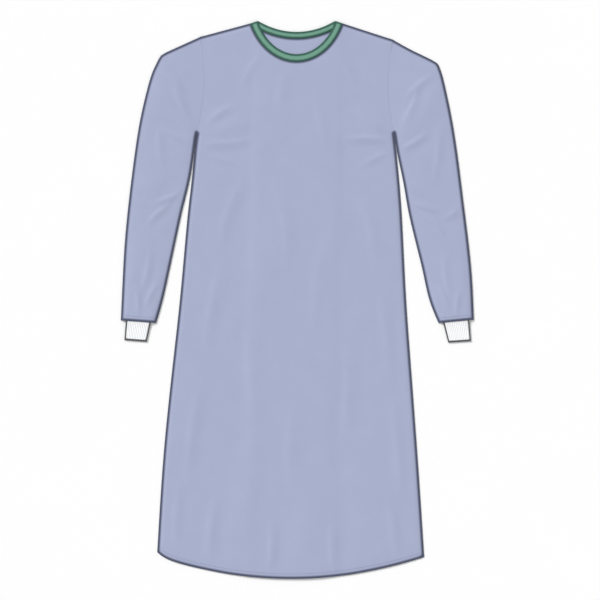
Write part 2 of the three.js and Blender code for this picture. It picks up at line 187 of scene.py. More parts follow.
# The upper side of a cuff starts this far over its lowest point, and its ribs sink over this share
# of its width towards each fold.
CUFF_MIDDLE = 2.2 * MM
CUFF_FOLD_SHARE = 0.03

# A cuff's ends are told by Y, which counts this much more than X, and this many rounds find a
# point's place in the cuff.
END_WEIGHT = 3
PLACE_ROUNDS = 4

# The darker edge band is this much narrower on cloth beside the neck binding, where it is
# painted shadow of the binding, than elsewhere, and a cuff's darker edge along its folds,
# where it is painted shade, than at its end.
NECK_SHADOW_EASE = 2.2 * MM
FOLD_SHADE_EASE = 0.5 * MM

# Where a darker place of a finish is whole and where it has faded out: in cells for the cloth's
# bond points, in metres for the seam to a sleeve and the edge of a cuff (its overlocked end, and
# painted shade along its folds), and in a rib's height for the painted shade between ribs.
BOND_POINT = (0.16, 0.3)
JOINT_LINE = (0.3 * MM, 1.6 * MM)
CUFF_EDGE = (3.2 * MM, 5.2 * MM)
RIB_HOLLOW = (0.1, 0.75)

# The darkest part of the cloth's darker edge band (pressed seams, with painted shade at the
# sleeves' folds and painted shadow beside the neck binding) and of the tape's edge, as a share of
# its width.
SEAM_CORE = 0.3
TAPE_CORE = 0.4

# A stitch: its length as a share of the stitch pitch, and, as shares of the thread's thickness, its
# height, its height where it is flush with the cloth, and how far its middle is over the cloth.
STITCH_LENGTH = 0.74
STITCH_HEIGHT = 0.8
FLUSH_HEIGHT = 0.25
STITCH_RISE = 0.3

# A row of stitches starts and ends this far in from the ends of the edge that it follows.
ROW_EASE = 2 * MM

# The floor reaches this far each way, just under the gown.
FLOOR_REACH = 20.0
FLOOR_DROP = 0.2 * MM

# The lights: the direction towards each, how wide it looks from the floor, in degrees, and how far
# away they stand.
LIGHTS = {
    "key": {"towards": (-0.62, 0.55, 0.56), "spread": 22},
    "fill": {"towards": (0.60, -0.45, 0.66), "spread": 50},
}
LIGHT_DISTANCE = 4

# Small creases on top of the solids' ridges, in millimetres and degrees. The columns are the
# centre's x and y, the direction, the length, the width, the bend and the height.
CREASES = {
    "front": [
        (-176, 398, 32, 120, 15, 8, 1.1),
        (-160, 352, 2, 140, 17, -9, 1.0),
        (-172, 316, -24, 96, 13, -6, 0.7),
        (168, 392, -36, 112, 14, -7, 1.0),
        (158, 346, -4, 126, 16, 8, 1.1),
        (170, 305, 27, 90, 12, 5, 0.6),
        (-96, 505, 58, 110, 17, 7, 0.6),
        (104, 500, 121, 104, 16, -7, 0.6),
        (-30, 455, 82, 130, 22, 6, 0.5),
        (42, 398, 103, 160, 24, -8, 0.5),
        (-140, 190, 71, 190, 22, 12, 0.7),
        (-40, 160, 98, 230, 26, -14, 0.6),
        (150, 150, 104, 210, 24, -10, 0.7),
        (52, 18, 84, 260, 30, 12, 0.6),
        (-180, -20, 80, 240, 24, 9, 0.8),
        (186, -70, 97, 230, 25, -8, 0.8),
        (-92, -150, 94, 250, 27, 13, 0.6),
        (98, -205, 88, 270, 28, -12, 0.7),
        (-225, -290, 83, 260, 23, 7, 0.9),
        (214, -330, 95, 250, 24, -6, 0.9),
        (-8, -330, 90, 230, 30, 9, 0.6),
        (-185, -500, 84, 170, 20, 5, 1.0),
        (-60, -540, 88, 130, 19, -4, 0.9),
        (80, -545, 93, 140, 20, 4, 0.9),
        (205, -505, 98, 150, 19, -5, 0.9),
        (-262, -470, 87, 150, 16, 4, 0.7),
    ],
    "sleeve_right": [
        (-246, 432, 118, 120, 16, 8, 1.0),
        (-272, 470, 140, 96, 14, -6, 0.8),
        (-262, 360, 152, 88, 14, 5, 1.0),
        (-296, 330, 96, 120, 15, 6, 0.7),
        (-286, 226, 22, 74, 13, -5, 1.1),
        (-298, 190, 40, 84, 13, 5, 1.0),
        (-336, 214, 148, 60, 12, 4, 0.7),
        (-334, 66, 80, 110, 14, -6, 0.8),
        (-318, 10, 66, 70, 12, 4, 0.7),
        (-352, -2, 96, 74, 11, -3, 0.8),
    ],
    "sleeve_left": [
        (242, 424, 64, 116, 16, -8, 1.0),
        (266, 464, 42, 92, 14, 6, 0.8),
        (254, 350, 30, 84, 14, -5, 1.0),
        (300, 318, 86, 130, 16, -7, 0.7),
        (280, 206, 160, 78, 13, 5, 1.1),
        (294, 166, 138, 86, 13, -5, 1.0),
        (334, 190, 30, 58, 12, -4, 0.7),
        (330, 50, 101, 104, 14, 6, 0.8),
        (316, 6, 118, 66, 12, -4, 0.7),
        (352, -6, 84, 70, 11, 3, 0.8),
    ],
}


def linear(red, green, blue):
    """A screen colour from 0 to 255 as the linear colour that a material takes."""
    shares = [channel / 255 for channel in (red, green, blue)]
    return tuple(s / 12.92 if s <= 0.04045 else ((s + 0.055) / 1.055) ** 2.4 for s in shares)


def colour_property(name, description, default):
    return bpy.props.FloatVectorProperty(
        name=name, description=description, default=default, subtype="COLOR", size=3, min=0, max=1
    )


def length_property(name, description, default):
    return bpy.props.FloatProperty(
        name=name, description=description, default=default, unit="LENGTH", min=0, precision=5
    )


def number_property(name, description, default, unit="NONE"):
    return bpy.props.FloatProperty(
        name=name, description=description, default=default, unit=unit, min=0
    )


class ClothSettings(bpy.types.PropertyGroup):
    """The nonwoven cloth of the body and sleeves."""

    wall: length_property("Wall", "Thickness of the cloth", 0.6 * MM)
    colour: colour_property("Colour", "Colour of the cloth", linear(168, 175, 203))
    # The pressed colour: sewn edges, painted shade at sleeve folds, painted shadow by the neck
    # binding.
    pressed_and_shaded: colour_property("Pressed colour", "Colour at sewn and cut edges", linear(52, 58, 82))
    seam_width: length_property("Seam width", "Width of a pressed edge", 8 * MM)
    bond_pitch: length_property("Bond pitch", "Distance between the cloth's bond points", 2.4 * MM)
    crease: number_property("Creases", "How far the creases stand out", 1.5)
    flutter: length_property("Unevenness", "How far the laid cloth is from even", 0.7 * MM)
    thread: colour_property("Thread colour", "Colour of the sewing thread", linear(126, 134, 170))
    stitch_pitch: length_property("Stitch pitch", "Distance between stitches", 4.2 * MM)
    stitch_inset: length_property("Stitch inset", "Distance of stitches from the edge", 11 * MM)
    thread_width: length_property("Thread", "Thickness of the sewing thread", 0.7 * MM)


class BindingSettings(bpy.types.PropertyGroup):
    """The tape that binds the neck edge, and its stitches."""

    colour: colour_property("Colour", "Colour of the tape", linear(114, 162, 142))
    edge: colour_property("Edge colour", "Colour at the tape's stitched edges", linear(36, 84, 72))
    edge_width: length_property("Edge width", "Width of the darker edge", 6.4 * MM)
    thread: colour_property("Thread colour", "Colour of the sewing thread", linear(30, 70, 56))
    stitch_pitch: length_property("Stitch pitch", "Distance between stitches", 3.4 * MM)
    stitch_inset: length_property("Stitch inset", "Distance of stitches from the edge", 2.4 * MM)
    thread_width: length_property("Thread", "Thickness of the sewing thread", 0.7 * MM)


class CuffSettings(bpy.types.PropertyGroup):
    """The knitted cuffs."""

    colour: colour_property("Colour", "Colour of the yarn", linear(253, 254, 255))
    # Painted shade: the hollows between the ribs take this colour.
    shade: colour_property("Shade", "Colour between the ribs", linear(246, 248, 250))
    # The overlocked end's own dark edge, and painted shade along the folds.
    edge: colour_property(
        "Edge colour", "Colour of the overlocked end and the folds", linear(50, 52, 58)
    )
    rib_height: length_property("Rib height", "How far the ribs stand out", 0.35 * MM)
    stitch_height: length_property("Stitch height", "Height of one knitted stitch", 1.3 * MM)


class StageSettings(bpy.types.PropertyGroup):
    """The floor, the light and the camera."""

    floor: colour_property("Floor", "Colour of the floor", linear(255, 255, 255))
    key: number_property("Key light", "Light of the key on a white floor", 0.44)
    fill: number_property("Fill light", "Light of the fill on a white floor", 0.08)
    sky: number_property("Sky", "Even light on a white floor", 0.48)
    lens: number_property("Lens", "Focal length of the camera", 200, unit="CAMERA")
    view_width: length_property("View width", "Width of floor in the picture", 1.3128)
    view_x: length_property("View centre", "Where the picture's middle is across the gown", 6 * MM)


class Number:
    """A value in a finish's nodes. Arithmetic on it adds Math nodes."""

    def __init__(self, finish, socket):
        self.finish = finish
        self.socket = socket

    def __add__(self, other):
        return self.finish.maths("ADD", self, other)

    __radd__ = __add__

    def __sub__(self, other):
        return self.finish.maths("SUBTRACT", self, other)

    def __rsub__(self, other):
        return self.finish.maths("SUBTRACT", other, self)

    def __mul__(self, other):
        return self.finish.maths("MULTIPLY", self, other)

    __rmul__ = __mul__

    def __truediv__(self, other):
        return self.finish.maths("DIVIDE", self, other)


def feed(tree, socket, value):
    """Gives a socket its value, or the link that the value comes by."""
    if isinstance(value, Number):
        value = value.socket
    if isinstance(value, bpy.types.NodeSocket):
        tree.links.new(value, socket)
    else:
        socket.default_value = value


def add_node(tree, kind, settings, inputs):
    """Adds a node to a tree: its settings first, then the values or links of its sockets."""
    node = tree.nodes.new(kind)
    for key, value in settings.items():
        setattr(node, key, value)
    for key, value in inputs.items():
        feed(tree, node.inputs[key], value)
    return node


class Finish:
    """A material, and the few ways that this script adds nodes to it."""

    def __init__(self, name):
        self.material = bpy.data.materials.new(name)
        self.material.use_nodes = True
        self.tree = self.material.node_tree
        self.tree.nodes.clear()
        self.shader = add_node(self.tree, "ShaderNodeBsdfPrincipled", {}, {})
        surface = self.shader.outputs["BSDF"]
        add_node(self.tree, "ShaderNodeOutputMaterial", {}, {"Surface": surface})

    def node(self, kind, inputs, **settings):
        """The outputs of a new node."""
        return add_node(self.tree, kind, settings, inputs).outputs

    def number(self, kind, output, inputs, **settings):
        """One output of a new node, as a value."""
        return Number(self, self.node(kind, inputs, **settings)[output])

    def maths(self, operation, first, second=0.0):
        return self.number("ShaderNodeMath", 0, {0: first, 1: second}, operation=operation)

    def fall(self, value, low, high):
        """1 where value is at or under low, 0 where it is at or over high, and smooth between."""
        inputs = {"Value": value, "From Min": low, "From Max": high}
        rise = self.number("ShaderNodeMapRange", "Result", inputs, interpolation_type="SMOOTHSTEP")
        return 1 - rise

    def mix(self, factor, first, second):
        """A colour between two colours."""
        pair = [c if isinstance(c, bpy.types.NodeSocket) else (*c, 1) for c in (first, second)]
        # Counted from 0, sockets 6 and 7 take the colours and output 2 gives their mix.
        return self.node("ShaderNodeMix", {0: factor, 6: pair[0], 7: pair[1]}, data_type="RGBA")[2]

    def shaded(self, colour, shade):
        """A colour made lighter or darker by a value."""
        return self.node("ShaderNodeVectorMath", {0: colour, "Scale": shade}, operation="SCALE")[0]

    def attribute(self, name):
        return self.number("ShaderNodeAttribute", "Fac", {}, attribute_name=name)

    def uv(self, scale=(1, 1, 1), turn=0.0):
        """The piece's own cloth coordinates in metres, turned and scaled."""
        source = self.node("ShaderNodeUVMap", {}, uv_map="cloth")["UV"]
        inputs = {"Vector": source, "Rotation": (0, 0, turn), "Scale": scale}
        return self.node("ShaderNodeMapping", inputs)["Vector"]

    def place(self):
        """The place on the object, in metres."""
        return self.node("ShaderNodeTexCoord", {})["Object"]

    def noise(self, vector, scale, detail):
        inputs = {"Vector": vector, "Scale": scale, "Detail": detail, "Roughness": 0.55}
        return self.number("ShaderNodeTexNoise", 0, inputs)

    def bump(self, height, depth):
        """Feeds the shader's normal with a height from 0 to 1, depth metres deep."""
        bump = self.node("ShaderNodeBump", {"Height": height, "Distance": depth, "Strength": 1.0})
        self.set(Normal=bump["Normal"])

    def set(self, **values):
        for key, value in values.items():
            feed(self.tree, self.shader.inputs[key.replace("_", " ")], value)


def cloth_finish(settings):
    """Soft nonwoven cloth: fibres, a grid of bond points, and pressed seams, with painted shade at
    the sleeves' folds and painted shadow beside the neck binding.
    """
    finish = Finish("soft_nonwoven")
    fibres = finish.noise(finish.uv(scale=(1, 0.35, 1)), scale=1500, detail=4)
    mottle = finish.noise(finish.uv(), scale=22, detail=3)
    cloud = finish.noise(finish.uv(), scale=160, detail=4)
    turned = finish.uv(turn=math.radians(45))
    grid = {"Vector": turned, "Scale": 1 / settings.bond_pitch, "Randomness": 0.0}
    cell = finish.number("ShaderNodeTexVoronoi", "Distance", grid, voronoi_dimensions="2D")
    bonds = finish.fall(cell, *BOND_POINT)
    width = settings.seam_width
    seam = finish.fall(finish.attribute("edge_distance"), SEAM_CORE * width, width)
    joint = finish.fall(finish.attribute("joint_distance"), *JOINT_LINE)
    shade = 0.93 + 0.07 * fibres + 0.06 * mottle + 0.03 * cloud - 0.05 * bonds
    plain = finish.shaded(settings.colour, shade)
    # Painted shade: besides sewn edges, the band darkens sleeve folds and the cloth by the neck
    # binding.
    pressed_and_shaded = finish.maths("MAXIMUM", seam * 0.9, joint * 0.08)
    finish.set(Base_Color=finish.mix(pressed_and_shaded, plain, settings.pressed_and_shaded))
    finish.set(Roughness=0.74 + 0.16 * fibres - 0.12 * bonds)
    finish.set(Sheen_Weight=0.12, Sheen_Roughness=0.5, Specular_IOR_Level=0.25)
    height = 0.5 + 0.35 * fibres + 0.15 * cloud - 0.5 * bonds - 0.4 * seam - 0.3 * joint
    finish.bump(height, depth=0.12 * MM)
    return finish.material


def binding_finish(settings):
    """Woven tape: a fine twill, darker at its two stitched edges."""
    finish = Finish("green_tape")
    twill = {"Vector": finish.uv(), "Scale": 380.0, "Distortion": 0.6, "Detail": 1.0}
    bands = {"wave_type": "BANDS", "bands_direction": "DIAGONAL"}
    weave = finish.number("ShaderNodeTexWave", "Fac", twill, **bands)
    slub = finish.noise(finish.uv(scale=(1, 0.2, 1)), scale=500, detail=3)
    width = settings.edge_width
    edge = finish.fall(finish.attribute("edge_distance"), TAPE_CORE * width, width)
    plain = finish.shaded(settings.colour, 0.88 + 0.1 * weave + 0.1 * slub)
    finish.set(Base_Color=finish.mix(edge * 0.85, plain, settings.edge))
    finish.set(Roughness=0.7 + 0.15 * slub, Sheen_Weight=0.15, Specular_IOR_Level=0.3)
    finish.bump(0.6 * weave + 0.4 * slub, depth=0.15 * MM)
    return finish.material


def knit_finish(settings):
    """Rib knit: columns of small stitches, with painted shade between the ribs, and a darker edge
    that is the overlocked end and painted shade along the folds.
    """
    finish = Finish("white_rib_knit")
    vector = finish.uv()
    split = finish.node("ShaderNodeSeparateXYZ", {0: vector})
    across = Number(finish, split[0])
    along = Number(finish, split[1])
    slant = finish.maths("ABSOLUTE", finish.maths("FRACT", across / RIB_PITCH) - 0.5)
    loops = finish.maths("SINE", (along / settings.stitch_height + slant * 1.4) * math.tau)
    fuzz = finish.noise(vector, scale=2600, detail=3)
    knit = 0.5 + 0.3 * loops + 0.3 * fuzz
    # Painted shade in the hollows between the ribs.
    hollow = finish.fall(finish.attribute("rib"), *RIB_HOLLOW)
    edge = finish.fall(finish.attribute("edge_distance"), *CUFF_EDGE)
    ribbed = finish.mix(hollow, settings.colour, settings.shade)
    # The darker edge: the overlocked end, and painted shade along the folds.
    plain = finish.mix(edge * 0.93, ribbed, settings.edge)
    finish.set(Base_Color=finish.shaded(plain, 0.91 + 0.12 * knit), Roughness=0.82 + 0.08 * fuzz)
    finish.set(Sheen_Weight=0.2, Specular_IOR_Level=0.2)
    finish.bump(knit, depth=0.18 * MM)
    return finish.material


def thread_finish(name, colour):
    """Spun thread, with a twist along each stitch."""
    finish = Finish(name)
    twist = finish.noise(finish.place(), scale=1800, detail=2)
    finish.set(Base_Color=finish.shaded(colour, 0.8 + 0.4 * twist))
    finish.set(Roughness=0.55 + 0.2 * twist, Specular_IOR_Level=0.4)
    finish.bump(twist, depth=0.1 * MM)
    return finish.material


def floor_finish(colour):
    """A pale matt floor, faintly uneven."""
    finish = Finish("floor_paint")
    grain = finish.noise(finish.place(), scale=6, detail=4)
    finish.set(Base_Color=finish.shaded(colour, 0.99 + 0.01 * grain))
    finish.set(Roughness=0.9 + 0.05 * grain, Specular_IOR_Level=0.1)
    return finish.material


def new_object(name, data):
    """A new object in the scene."""
    obj = bpy.data.objects.new(name, data)
    bpy.context.scene.collection.objects.link(obj)
    return obj


def object_from(bm, name):
    """A mesh object made of the mesh in work, which is then let go."""
    mesh = bpy.data.meshes.new(name)
    bm.to_mesh(mesh)
    bm.free()
    return new_object(name, mesh)


def finished(obj):
    """The object with its modifiers worked in, as a plain mesh object of the same name."""
    name = obj.name
    evaluated = obj.evaluated_get(bpy.context.evaluated_depsgraph_get())
    mesh = bpy.data.meshes.new_from_object(evaluated)
    mesh.name = name
    bpy.data.objects.remove(obj)
    return new_object(name, mesh)


def mesh_in_work(obj):
    bm = bmesh.new()
    bm.from_mesh(obj.data)
    return bm


def merged_copy(node):
    """The node's own triangles with their shared points merged."""
    bm = mesh_in_work(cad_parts[node])
    bmesh.ops.remove_doubles(bm, verts=bm.verts, dist=MERGE_DISTANCE)
    return bm


def pair_triangles(bm, flatness):
    """Joins triangles into quads where they turn by less than flatness."""
    bmesh.ops.join_triangles(
        bm, faces=bm.faces[:], angle_face_threshold=flatness, angle_shape_threshold=ANY_SHAPE
    )


def keep_faces(bm, kept):
    """Drops every face that isn't kept, and pairs the triangles that are left into quads."""
    bmesh.ops.delete(bm, geom=[f for f in bm.faces if f not in kept], context="FACES")
    pair_triangles(bm, CLOTH_FLATNESS)
    return bm


def one_side(node, up):
    """A panel's upper or lower surface."""
    bm = merged_copy(node)
    bm.normal_update()
    kept = {f for f in bm.faces if (f.normal.z if up else -f.normal.z) > PANEL_SIDE}
    return keep_faces(bm, kept)


def outer_side(node):
    """A flattened tube's outer surface, without its lining side and the rims at its two ends."""
    bm = merged_copy(node)
    bm.normal_update()
    tree = BVHTree.FromBMesh(bm)
    inner = set()
    for face in bm.faces:
        start = face.calc_center_median() + face.normal * LINE_START
        if tree.ray_cast(start, face.normal, LINING_REACH)[0] is not None:
            inner.add(face)
    inner_points = {v for f in inner for v in f.verts}
    kept = {f for f in bm.faces if f not in inner and not inner_points.intersection(f.verts)}
    return keep_faces(bm, kept)


def is_hard(edge):
    return len(edge.link_faces) == 2 and edge.calc_face_angle() > HARD_EDGE


def merged_quads(node):
    """The whole closed solid as quads, with its hard edges kept."""
    bm = merged_copy(node)
    pair_triangles(bm, CLOSED_FLATNESS)
    bm.normal_update()
    crease = bm.edges.layers.float.new("crease_edge")
    for edge in bm.edges:
        if is_hard(edge):
            edge[crease] = KEPT_SHARPNESS
    return bm


def smoothed(bm, name, levels, straight=0, corners=()):
    """The surface with its facets rounded, after they are divided straight times. Its sharp corners
    stay, and so do the corners named."""
    bm.normal_update()
    pinned = bm.verts.layers.float.new("crease_vert")
    rims = {e for e in bm.edges if e.is_boundary or is_hard(e)}
    for vert in bm.verts:
        rim = [e for e in vert.link_edges if e in rims]
        if len(rim) == 2:
            first, second = ((e.other_vert(vert).co - vert.co).normalized() for e in rim)
            vert[pinned] = float(first.dot(-second) < math.cos(SHARP_CORNER))
        elif len(rim) > 2:
            vert[pinned] = 1.0
    for x, y in corners:
        away = {vert: Vector((x - vert.co.x, y - vert.co.y)).length for vert in bm.verts}
        reach = min(away.values()) + CORNER_EASE
        for vert, distance in away.items():
            if distance < reach:
                vert[pinned] = 1.0
    obj = object_from(bm, name)
    for kind, count in (("SIMPLE", straight), ("CATMULL_CLARK", levels)):
        if count:
            rounding = obj.modifiers.new("rounding", "SUBSURF")
            rounding.subdivision_type = kind
            rounding.levels = rounding.render_levels = count
            rounding.boundary_smooth = "PRESERVE_CORNERS"
    return finished(obj)


def points_of(obj):
    points = np.zeros(len(obj.data.vertices) * 3, np.float32)
    obj.data.vertices.foreach_get("co", points)
    return points.reshape(-1, 3).astype(float)


def set_points(obj, points):
    obj.data.vertices.foreach_set("co", points.astype(np.float32).ravel())
    obj.data.update()


def ends_of(edge):
    return tuple(vert.co.copy() for vert in edge.verts)


def boundary_segments(obj):
    """The open edges of a surface, as pairs of points."""
    bm = mesh_in_work(obj)
    pairs = [ends_of(edge) for edge in bm.edges if edge.is_boundary]
    bm.free()
    return pairs


def fold_segments(obj):
    """The edges of a flattened tube that lie furthest out along its folds."""
    bm = mesh_in_work(obj)
    bm.normal_update()
    pairs = []
    for edge in bm.edges:
        if len(edge.link_faces) == 2 and all(abs(f.normal.z) < FOLD_SLOPE for f in edge.link_faces):
            pairs.append(ends_of(edge))
    bm.free()
    return pairs


def strip_edges(node, long_only=False):
    """The outer edges of a binding strip, as pairs of points, with or without its two ends."""
    bm = merged_copy(node)
    bm.normal_update()
    pairs = []
    for edge in bm.edges:
        walls = [f for f in edge.link_faces if abs(f.normal.z) < WALL_SLOPE]
        if len(walls) != 1 or min(f.normal.z for f in edge.link_faces) > UNDERSIDE:
            continue
        start, end = ends_of(edge)
        outwards = (start + end) / 2 - Vector((*NECK_CENTRE, 0))
        outwards.z = 0
        if not long_only or abs(walls[0].normal.dot(outwards.normalized())) > SAME_WAY:
            pairs.append((start, end))
    bm.free()
    return pairs


def distance_to(segments, points):
    """How far each point is from the nearest of the segments, seen from above."""
    samples = []
    for start, end in segments:
        count = max(1, math.ceil((end - start).length / EDGE_SPACING))
        samples.extend(start.lerp(end, i / count) for i in range(count))
    tree = KDTree(len(samples))
    for i, sample in enumerate(samples):
        tree.insert((sample.x, sample.y, 0), i)
    tree.balance()
    return np.array([tree.find((x, y, 0))[2] for x, y, _ in points])


def smoothstep(values, low, high):
    share = np.clip((values - low) / (high - low), 0, 1)
    return share * share * (3 - 2 * share)


def creases_at(creases, points):
    """The height in metres that soft creases, each with a hollow beside it, add at each point."""
    total = np.zeros(len(points))
    for x, y, degrees, length, width, bend, height in creases:
        turn = math.radians(degrees)
        dx = points[:, 0] - x * MM
        dy = points[:, 1] - y * MM
        along = (dx * math.cos(turn) + dy * math.sin(turn)) / (length * MM / 2)
        across = dy * math.cos(turn) - dx * math.sin(turn) - bend * MM * (1 - along**2)
        width *= MM
        lean = np.where(across > 0, STEEP_SIDE, GENTLE_SIDE)
        taper = np.clip(1 - along**2, 0, 1) ** END_TAPER
        ridge = np.exp(-((across / (RIDGE_WIDTH * width * lean)) ** 2))
        beside = (across + HOLLOW_PLACE * width) / (HOLLOW_WIDTH * width)
        hollow = HOLLOW_DEPTH * np.exp(-(beside**2))
        total += height * MM * taper * (ridge - hollow)
    return total


def unevenness(points, size, seed):
    """Slow, soft unevenness, from -1 to 1."""
    places = [Vector((x, y, seed)) / size for x, y, _ in points]
    return np.array([noise.fractal(place, WAVE_FADE, WAVE_STEP, WAVE_LAYERS) for place in places])


def laid_height(node, settings, points):
    """How far the laid cloth stands over its solid at each point: its creases and unevenness."""
    height = settings.crease * creases_at(CREASES[node], points)
    return height + settings.flutter * unevenness(points, **WAVES[node])


def close_seam(points, to_seam, towards):
    """Moves the edge at a seam into the gap, along X, and eases the cloth beside it."""
    near = 1 - smoothstep(to_seam, 0, GAP_REACH)
    points[:, 0] += towards * GAP_SHARE * SEAM_GAP * near


def in_chains(segments):
    """Loose pairs of points as lines of points that follow on each other."""
    places = {}
    for pair in segments:
        for point, other in (pair, pair[::-1]):
            places.setdefault(rounded(point), []).append((point, other))
    lines, used = [], set()
    ends = [key for key, pairs in places.items() if len(pairs) == 1] or list(places)[:1]
    for key in ends:
        line = [places[key][0][0]]
        while key not in used:
            used.add(key)
            ahead = [other for _, other in places[key] if rounded(other) not in used]
            if ahead:
                line.append(ahead[0])
                key = rounded(ahead[0])
        if len(line) > 1:
            lines.append(line)
    return lines


def rounded(point):
    return tuple(round(value / CHAIN_GRID) for value in point)


def inset_line(line, inset, tree, above, rise):
    """The line moved in by inset and laid on the cloth or under it, rise away from its surface."""
    drop = Vector((0, 0, -1 if above else 1))
    last = len(line) - 1
    result = []
    for i, point in enumerate(line):
        ahead = (line[min(i + 1, last)] - line[max(i - 1, 0)]).normalized()
        side = Vector((-ahead.y, ahead.x, 0))
        if i in (0, last):
            point = point + ahead * (ROW_EASE if i == 0 else -ROW_EASE)
        for sign in (1, -1):
            place = point + side * inset * sign
            hit = tree.ray_cast(Vector((place.x, place.y, -drop.z * LINE_HEIGHT)), drop)[0]
            if hit is not None:
                result.append(hit - drop * rise)
                break
    return result


def seam_rows(obj, pairs, settings, above=True):
    """Lines for rows of stitches beside the edges, on the surface's upper or lower side."""
    bm = mesh_in_work(obj)
    tree = BVHTree.FromBMesh(bm)
    bm.free()
    rise = STITCH_RISE * settings.thread_width if above else 0.0
    return [inset_line(line, settings.stitch_inset, tree, above, rise) for line in in_chains(pairs)]


def stitch_tree():
    """Node tree that lays stitches of a given size along a line."""
    tree = bpy.data.node_groups.new("stitch_row", "GeometryNodeTree")
    face = tree.interface
    face.new_socket("Geometry", in_out="INPUT", socket_type="NodeSocketGeometry")
    for name in ("Pitch", "Length", "Width", "Height"):
        face.new_socket(name, in_out="INPUT", socket_type="NodeSocketFloat")
    face.new_socket("Material", in_out="INPUT", socket_type="NodeSocketMaterial")
    face.new_socket("Geometry", in_out="OUTPUT", socket_type="NodeSocketGeometry")

    def node(kind, inputs, **settings):
        return add_node(tree, kind, settings, inputs).outputs

    source = node("NodeGroupInput", {})
    line = node("GeometryNodeMeshToCurve", {"Mesh": source["Geometry"]})["Curve"]
    inputs = {"Curve": line, "Length": source["Pitch"]}
    spaced = node("GeometryNodeResampleCurve", inputs, mode="LENGTH")["Curve"]
    ball = node("GeometryNodeMeshUVSphere", {"Segments": 8, "Rings": 6, "Radius": 0.5})["Mesh"]
    tangent = node("GeometryNodeInputTangent", {})["Tangent"]
    turned = node("FunctionNodeAlignRotationToVector", {"Vector": tangent}, axis="X")["Rotation"]
    sizes = {"X": source["Length"], "Y": source["Width"], "Z": source["Height"]}
    size = node("ShaderNodeCombineXYZ", sizes)["Vector"]
    inputs = {"Points": spaced, "Instance": ball, "Rotation": turned, "Scale": size}
    stitches = node("GeometryNodeInstanceOnPoints", inputs)["Instances"]
    whole = node("GeometryNodeRealizeInstances", {"Geometry": stitches})["Geometry"]
    inputs = {"Geometry": whole, "Material": source["Material"]}
    painted = node("GeometryNodeSetMaterial", inputs)["Geometry"]
    node("NodeGroupOutput", {"Geometry": painted})
    return tree


def shade_smooth(obj):
    obj.data.polygons.foreach_set("use_smooth", [True] * len(obj.data.polygons))


def sew(name, lines, settings, material, flush=False):
    """Lays stitches along the lines as one piece. Flush ones hardly stand out of the cloth."""
    bm = bmesh.new()
    for line in lines:
        verts = [bm.verts.new(point) for point in line]
        for pair in zip(verts, verts[1:]):
            bm.edges.new(pair)
    obj = object_from(bm, name)
    modifier = obj.modifiers.new("stitches", "NODES")
    modifier.node_group = bpy.data.node_groups.get("stitch_row") or stitch_tree()
    sizes = {
        "Pitch": settings.stitch_pitch,
        "Length": STITCH_LENGTH * settings.stitch_pitch,
        "Width": settings.thread_width,
        "Height": settings.thread_width * (FLUSH_HEIGHT if flush else STITCH_HEIGHT),
        "Material": material,
    }
    for item in modifier.node_group.interface.items_tree:
        if item.in_out == "INPUT" and item.name in sizes:
            modifier[item.identifier] = sizes[item.name]
    obj = finished(obj)
    shade_smooth(obj)
    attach(obj, "root")


def store(obj, name, values):
    attribute = obj.data.attributes.new(name, "FLOAT", "POINT")
    attribute.data.foreach_set("value", values.astype(np.float32))


def store_map(obj, across, along):
    """Gives each point its own cloth coordinates, in metres."""
    loops = np.zeros(len(obj.data.loops), np.int32)
    obj.data.loops.foreach_get("vertex_index", loops)
    layer = obj.data.uv_layers.new(name="cloth")
    places = np.stack([across, along], axis=1)[loops]
    layer.data.foreach_set("uv", places.astype(np.float32).ravel())


def lay_cloth_map(obj, turn=0.0):
    """Cloth coordinates as seen from above, with the cloth's length along the turned Y axis."""
    points = points_of(obj)
    across = points[:, 0] * math.cos(turn) + points[:, 1] * math.sin(turn)
    store_map(obj, across, points[:, 1] * math.cos(turn) - points[:, 0] * math.sin(turn))


def thicken(obj, wall):
    """Gives a surface its wall, away from the side its faces look to."""
    solid = obj.modifiers.new("wall", "SOLIDIFY")
    solid.thickness = wall
    solid.offset = -1.0
    solid.use_rim = True
    return finished(obj)


def dress(obj, material, node):
    """Gives a finished piece its material and smooth shading, parents it to the root, and hides the
    solid that it stands for.
    """
    obj.data.materials.append(material)
    shade_smooth(obj)
    obj.data.set_sharp_from_angle(angle=SHARP_EDGE)
    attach(obj, "root")
    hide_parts(node)


def is_armhole(point):
    side = "right" if point.x < 0 else "left"
    return UNDERARM_Y < point.y < ARMHOLE_TOP_Y[side] and abs(point.x) > ARMHOLE_NEAREST_X


def is_neck(point):
    return point.y > NECK_LOWEST_Y and abs(point.x - NECK_CENTRE[0]) < NECK_REACH


def sorted_outline(obj):
    """A body panel's open edges, by what they are sewn to."""
    groups = {"armhole": [], "neck": [], "hem": [], "seam": []}
    for start, end in boundary_segments(obj):
        middle = (start + end) / 2
        runs_down = abs((end - start).normalized().y)
        if is_armhole(middle) and runs_down > SAME_WAY:
            groups["armhole"].append((start, end))
        elif is_neck(middle):
            groups["neck"].append((start, end))
        elif middle.y < HEM_TOP_Y and runs_down < SAME_WAY:
            groups["hem"].append((start, end))
        else:
            groups["seam"].append((start, end))
    return groups


def outline_distances(obj, points):
    """How far each point of a body panel is from each kind of its edges."""
    return {kind: distance_to(pairs, points) for kind, pairs in sorted_outline(obj).items()}


def mark_panel(obj, away):
    """Stores how far each point of a panel is from a darker edge (pressed seams, and painted shadow
    beside the neck binding), and from its sleeve's seam.
    """
    # Beside the neck binding the darker band is painted shadow of the binding.
    pressed_and_shaded = np.minimum(np.minimum(away["seam"], away["hem"]), away["neck"] + NECK_SHADOW_EASE)
    store(obj, "edge_distance", pressed_and_shaded)
    store(obj, "joint_distance", away["armhole"])


